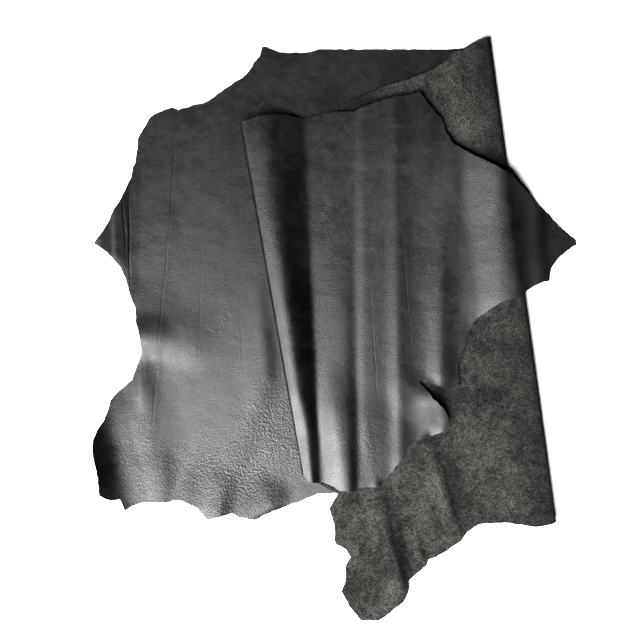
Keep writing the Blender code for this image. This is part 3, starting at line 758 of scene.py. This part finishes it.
class Nodes:
    """A material's node tree with short ways to add and join nodes."""

    def __init__(self, name):
        self.material = bpy.data.materials.new(name)
        self.material.use_nodes = True
        self.tree = self.material.node_tree
        self.shader = self.tree.nodes["Principled BSDF"]

    def add(self, kind, inputs=(), **settings):
        """A new node of this kind with its settings made and its inputs filled."""
        node = self.tree.nodes.new(kind)
        for key, value in settings.items():
            setattr(node, key, value)
        for key, value in dict(inputs).items():
            self.put(node.inputs[key], value)
        return node

    def put(self, socket, value):
        """Joins an input to another node's output, or gives it a plain value."""
        if isinstance(value, bpy.types.NodeSocket):
            self.tree.links.new(value, socket)
        else:
            socket.default_value = value

    def flat_place(self):
        """The flat sheet's own coordinates, in metres."""
        return self.add("ShaderNodeUVMap", uv_map=FLAT_MAP).outputs["UV"]

    def noise(self, place, blotches):
        """A noise of these blotches, from 0 to 1."""
        inputs = {
            "Vector": place,
            "Scale": 1.0 / blotches.size,
            "Detail": blotches.detail,
            "Roughness": blotches.roughness,
            "Distortion": blotches.distortion,
        }
        return self.add("ShaderNodeTexNoise", inputs).outputs["Fac"]

    def cells(self, place, size):
        """The distance in a pattern of cells that are about size metres across."""
        inputs = {"Vector": place, "Scale": 1.0 / size}
        return self.add("ShaderNodeTexVoronoi", inputs).outputs["Distance"]

    def specks(self, place, size):
        """A random value from 0 to 1 in each speck of about size metres."""
        inputs = {"Vector": place, "Scale": 1.0 / size}
        colour = self.add("ShaderNodeTexVoronoi", inputs).outputs["Color"]
        return self.add("ShaderNodeSeparateColor", {"Color": colour}).outputs["Red"]

    def remap(self, value, start, end, low=0.0, high=1.0):
        """Goes smoothly from low, where value is start, to high, where it is end."""
        inputs = {"Value": value, "From Min": start, "From Max": end, "To Min": low, "To Max": high}
        node = self.add("ShaderNodeMapRange", inputs, interpolation_type="SMOOTHSTEP")
        return node.outputs["Result"]

    def math(self, operation, first, second):
        """The result of an operation on two values."""
        node = self.add("ShaderNodeMath", {0: first, 1: second}, operation=operation)
        return node.outputs["Value"]

    def mean(self, first_share, first, second):
        """The mean of two values, of which the first has this share."""
        of_first = self.math("MULTIPLY", first, first_share)
        return self.math("ADD", of_first, self.math("MULTIPLY", second, 1.0 - first_share))

    def blend(self, share, first, second):
        """A colour that goes from the first to the second as share goes from 0 to 1."""
        node = self.add("ShaderNodeMix", data_type="RGBA")
        for name, value in (("Factor", share), ("A", first), ("B", second)):
            self.put(node.inputs[name], value)
        return node.outputs["Result"]

    def vector_math(self, operation, *inputs):
        """A node that does an operation on vectors."""
        return self.add("ShaderNodeVectorMath", enumerate(inputs), operation=operation)

    def warped(self, place, swirl):
        """Places pushed about in swirls."""
        inputs = {"Vector": place, "Scale": 1.0 / swirl.size, "Detail": SWIRL_DETAIL}
        push = self.add("ShaderNodeTexNoise", inputs).outputs["Color"]
        shift = self.vector_math("SUBTRACT", push, (NOISE_MIDDLE,) * 3).outputs["Vector"]
        reach = (swirl.reach, swirl.reach, 0.0)
        return self.vector_math("MULTIPLY_ADD", shift, reach, place).outputs["Vector"]

    def zone(self, place, mark):
        """A mark's depth at its middle, falling to 0 at the edge of its oval."""
        middle = unfold(mark.layer, np.array([(mark.x, mark.y)]))[0] * MM
        inputs = {
            "Vector": place,
            "Location": (middle[0], middle[1], 0.0),
            "Rotation": (0.0, 0.0, math.radians(mark.turn)),
            "Scale": (mark.half_width * MM, mark.half_length * MM, 1.0),
        }
        oval = self.add("ShaderNodeMapping", inputs, vector_type="TEXTURE").outputs["Vector"]
        apart = self.vector_math("LENGTH", oval).outputs["Value"]
        return self.remap(apart, 0.0, 1.0, mark.depth, 0.0)

    def streaks(self, place, streaks):
        """The deepest of several streaks, each narrow at its two ends."""
        marks = []
        for streak in streaks:
            ends = np.array(((streak.x1, streak.y1), (streak.x2, streak.y2)))
            first, last = unfold(streak.layer, ends)
            run = last - first
            turn = math.degrees(math.atan2(-run[0], run[1]))
            sizes = (streak.half_width, np.linalg.norm(run) / 2.0, turn)
            marks.append(Mark(streak.layer, *ends.mean(axis=0), *sizes, streak.depth))
        return self.zones(place, marks)

    def zones(self, place, marks):
        """The deepest of several marks."""
        total = 0.0
        for mark in marks:
            total = self.math("MAXIMUM", self.zone(place, mark), total)
        return total

    def lines(self, place, blotches, width):
        """Thin curly lines, 1 in their middle, that go round the blotches of a noise."""
        noise = self.noise(place, blotches)
        off = self.math("ABSOLUTE", self.math("SUBTRACT", noise, NOISE_MIDDLE), 0.0)
        return self.remap(off, 0.0, width, 1.0, 0.0)

    def bump(self, height, distance, before=None):
        """The normal with a relief of this height on top of the relief before it."""
        node = self.add("ShaderNodeBump", {"Height": height, "Distance": distance})
        if before is not None:
            self.put(node.inputs["Normal"], before)
        return node.outputs["Normal"]


def grain_leather():
    """The waxed grain side: black, smooth and mottled, with veins, pebbles and growth wrinkles."""
    nodes = Nodes("grain")
    place = nodes.flat_place()
    drift = nodes.warped(place, GRAIN_SWIRL)
    wax = nodes.mean(CLOUD_SHARE, nodes.noise(place, CLOUDS), nodes.noise(drift, SMUDGES))
    colour = nodes.blend(nodes.remap(wax, *WAX_COLOUR_RANGE), GRAIN_DARK, GRAIN_PALE)
    colour = nodes.blend(nodes.zones(place, COOL), colour, GRAIN_COOL)
    scuffs = nodes.remap(nodes.noise(drift, SCUFFS), *SCUFF_RANGE)
    scuffs = nodes.math("MULTIPLY", scuffs, nodes.zones(drift, SCUFFED))
    colour = nodes.blend(scuffs, colour, GRAIN_SCUFFED)
    nodes.put(nodes.shader.inputs["Base Color"], colour)
    veins = nodes.math("MULTIPLY", nodes.lines(drift, VEINS, VEIN_WIDTH), VEIN_ROUGHNESS)
    shine = nodes.remap(wax, *WAX_SHINE_RANGE, *GRAIN_ROUGHNESS)
    roughness = nodes.math("ADD", nodes.math("ADD", shine, veins), nodes.zones(drift, DULL))
    roughness = nodes.math("SUBTRACT", roughness, nodes.zones(drift, POLISHED))
    nodes.put(nodes.shader.inputs["Roughness"], roughness)
    nodes.shader.inputs["Specular IOR Level"].default_value = GRAIN_SPECULAR
    normal = nodes.bump(nodes.noise(place, PORES), PORE_RELIEF)
    pebbles = nodes.math("MULTIPLY", nodes.cells(place, PEBBLE_SIZE), nodes.zones(drift, PEBBLES))
    normal = nodes.bump(pebbles, PEBBLE_RELIEF, normal)
    curls = nodes.math("MULTIPLY", nodes.lines(place, CURLS, CURL_WIDTH), nodes.zones(drift, GROWTH))
    normal = nodes.bump(curls, CURL_RELIEF, normal)
    creases = nodes.zones(nodes.warped(place, CREASE_SWIRL), CREASES)
    normal = nodes.bump(creases, CREASE_RELIEF, normal)
    normal = nodes.bump(nodes.noise(drift, DENTS), DENT_RELIEF, normal)
    nodes.put(nodes.shader.inputs["Normal"], normal)
    return nodes.material


def suede_leather():
    """The flesh side: matt charcoal suede, with painted shade and highlight at its creases, notch and
    fold.
    """
    nodes = Nodes("suede")
    place = nodes.flat_place()
    drift = nodes.warped(place, SUEDE_SWIRL)
    wavering = nodes.warped(place, STREAK_SWIRL)
    nap = nodes.noise(drift, NAP)
    strokes = nodes.mean(NAP_SHARE, nap, nodes.noise(drift, TUFTS))
    colour = nodes.blend(nodes.remap(strokes, *NAP_RANGE), SUEDE_DARK, SUEDE_PALE)
    # Painted highlight on the creases' lit sides, with pale broad patches and pale wear on the paw.
    colour = nodes.blend(nodes.streaks(wavering, LIT_AND_WORN_STREAKS), colour, SUEDE_LIT_AND_WORN)
    on_line = (BACK_FOLD.x_at_zero * MM, 0.0, 0.0)
    from_line = nodes.vector_math("SUBTRACT", place, on_line).outputs["Vector"]
    across = (*outward(BACK_FOLD), 0.0)
    past = nodes.vector_math("DOT_PRODUCT", from_line, across).outputs["Value"]
    # Painted shade: the suede darkens toward the back fold, where it turns away from the light.
    wandering = nodes.math("ADD", past, nodes.math("MULTIPLY", nap, FOLD_SHADE_WANDER))
    band = nodes.remap(wandering, *FOLD_SHADE_BAND, FOLD_SHADE_DEPTH, 0.0)
    # Painted shade toward the back fold, in the creases, in the notch and by the butt layer's top
    # edge, with darker nap on the paw.
    shade_and_dark_nap = nodes.math("MAXIMUM", band, nodes.zones(drift, SHADE_AND_DARK_NAP))
    shade_and_dark_nap = nodes.math("MAXIMUM", shade_and_dark_nap, nodes.streaks(wavering, CREASE_SHADE_STREAKS))
    colour = nodes.blend(shade_and_dark_nap, colour, SUEDE_SHADE_AND_DARK_NAP)
    specks = nodes.specks(place, SPECK_SIZE)
    scale = {0: colour, "Scale": nodes.remap(specks, 0.0, 1.0, *SPECK_SHADES)}
    colour = nodes.add("ShaderNodeVectorMath", scale, operation="SCALE").outputs["Vector"]
    # Painted shade: near-black suede on the back fold's bend, in the notch beside the lobe and in the
    # deepest crease.
    bend = nodes.remap(past, *BEND_SHADE_BAND, 1.0, 0.0)
    painted_shade = nodes.math("MAXIMUM", bend, nodes.streaks(place, PAINTED_SHADE_STREAKS))
    nodes.put(nodes.shader.inputs["Base Color"], nodes.blend(painted_shade, colour, SUEDE_PAINTED_SHADE))
    nodes.shader.inputs["Roughness"].default_value = SUEDE_ROUGHNESS
    nodes.shader.inputs["Specular IOR Level"].default_value = SUEDE_SPECULAR
    normal = nodes.bump(nap, NAP_RELIEF, nodes.bump(specks, SPECK_RELIEF))
    nodes.put(nodes.shader.inputs["Normal"], normal)
    return nodes.material


def cut_edge():
    """The raw cut edge of the leather."""
    nodes = Nodes("cut_edge")
    fibres = nodes.noise(nodes.flat_place(), FIBRES)
    nodes.put(nodes.shader.inputs["Base Color"], nodes.blend(fibres, EDGE_DARK, EDGE_PALE))
    nodes.shader.inputs["Roughness"].default_value = EDGE_ROUGHNESS
    nodes.put(nodes.shader.inputs["Normal"], nodes.bump(fibres, FIBRE_RELIEF))
    return nodes.material


def make_hide():
    """The sheet with its thickness: grain on one side, suede on the other, cut edges between."""
    sheet = make_sheet()
    thin = bpy.data.objects.new("hide_thin", sheet)
    bpy.context.scene.collection.objects.link(thin)
    for material in (grain_leather(), suede_leather(), cut_edge()):
        sheet.materials.append(material)
    shell = thin.modifiers.new("thickness", "SOLIDIFY")
    shell.thickness = THICKNESS * MM
    shell.offset = 0.0
    shell.material_offset = 1  # from the grain to the suede
    shell.material_offset_rim = 2  # from the grain to the cut edge
    bpy.context.view_layer.update()
    graph = bpy.context.evaluated_depsgraph_get()
    mesh = bpy.data.meshes.new_from_object(thin.evaluated_get(graph))
    bpy.data.objects.remove(thin, do_unlink=True)
    bpy.data.meshes.remove(sheet)
    mesh.name = "leather_side"
    mesh.set_sharp_from_angle(angle=math.radians(SHARP_ANGLE))
    piece = bpy.data.objects.new("leather_side", mesh)
    bpy.context.scene.collection.objects.link(piece)
    return piece


def make_floor():
    """The white floor, wide enough that its edge is out of the picture from most sides."""
    mesh = bpy.data.meshes.new("floor")
    sheet = bmesh.new()
    bmesh.ops.create_grid(sheet, x_segments=1, y_segments=1, size=FLOOR_HALF)
    sheet.to_mesh(mesh)
    sheet.free()
    floor = bpy.data.objects.new("floor", mesh)
    nodes = Nodes("pale_floor")
    nodes.shader.inputs["Base Color"].default_value = FLOOR_WHITE
    nodes.shader.inputs["Roughness"].default_value = FLOOR_ROUGHNESS
    nodes.shader.inputs["Specular IOR Level"].default_value = FLOOR_SPECULAR
    mesh.materials.append(nodes.material)
    bpy.context.scene.collection.objects.link(floor)
    return floor


def make_window():
    """The light: one large soft square, turned to the middle of the hide."""
    lamp = bpy.data.lights.new("window", "AREA")
    lamp.shape = "SQUARE"
    lamp.size = WINDOW_SIDE
    lamp.energy = WINDOW_POWER
    light = bpy.data.objects.new("window", lamp)
    light.location = WINDOW_PLACE
    way = Vector(WINDOW_TARGET) - Vector(WINDOW_PLACE)
    light.rotation_euler = way.to_track_quat("-Z", "Y").to_euler()
    bpy.context.scene.collection.objects.link(light)


def make_camera():
    """The camera, which looks straight down."""
    lens = bpy.data.cameras.new("camera")
    lens.lens = LENS
    lens.sensor_width = SENSOR
    camera = bpy.data.objects.new("camera", lens)
    camera.location = (VIEW_MIDDLE[0] * MM, VIEW_MIDDLE[1] * MM, CAMERA_HEIGHT)
    bpy.context.scene.collection.objects.link(camera)
    bpy.context.scene.camera = camera


def make_studio():
    """The floor, the window and white surroundings, which light nothing themselves."""
    make_floor()
    make_window()
    world = bpy.data.worlds.new("studio")
    world.use_nodes = True
    world.node_tree.nodes["Background"].inputs["Color"].default_value = WHITE
    world.cycles_visibility.diffuse = False
    world.cycles_visibility.glossy = False
    bpy.context.scene.world = world
    bpy.context.scene.view_settings.view_transform = "Standard"


make_camera()
make_studio()
hide = make_hide()
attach(hide, "root")
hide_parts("hide")
